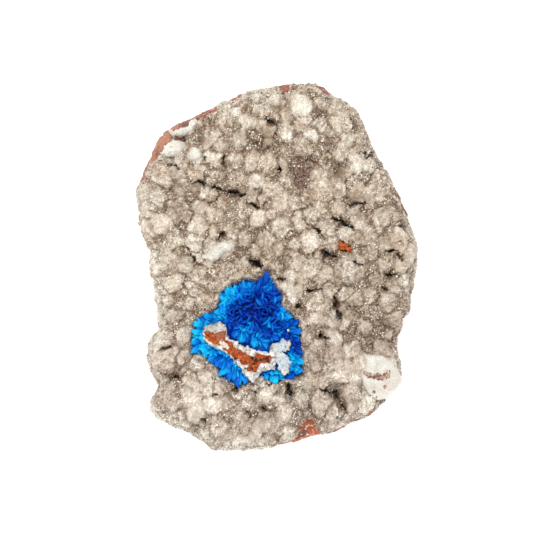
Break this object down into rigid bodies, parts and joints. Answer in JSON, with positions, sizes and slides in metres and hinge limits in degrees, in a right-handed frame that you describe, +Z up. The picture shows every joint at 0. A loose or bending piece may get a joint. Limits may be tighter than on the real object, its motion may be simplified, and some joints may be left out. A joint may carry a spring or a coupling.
{
  "type": "cavansite mineral specimen",
  "caption": "Cluster of bright blue cavansite blades in a lumpy, sugary zeolite crust on a slab of red-brown volcanic breccia, lying flat on its back.",
  "frame": {"origin": "on the resting plane, below the middle of the slab's bounding box", "axes": "+Z up out of the crystal face, +Y along the slab's long way towards the picture's top, +X towards the picture's right"},
  "size_m": [0.0732, 0.0955, 0.0278],
  "materials": {
    "breccia": "rough broken red-brown rock",
    "zeolite": "sugary druse of tiny glassy crystals",
    "cavansite": "glassy blue blades",
    "white_zeolite": "fine white crystals",
    "orange_breccia": "earthy orange-red rock",
    "cream_zeolite": "smooth, waxy to pearly"
  },
  "bodies": {
    "root": {"matrix": "breccia", "zeolite_crust": "zeolite", "cavansite": "cavansite", "chip_rind": "white_zeolite", "breccia_chip": "orange_breccia", "cream_chunk": "cream_zeolite"}
  },
  "joints": []
}
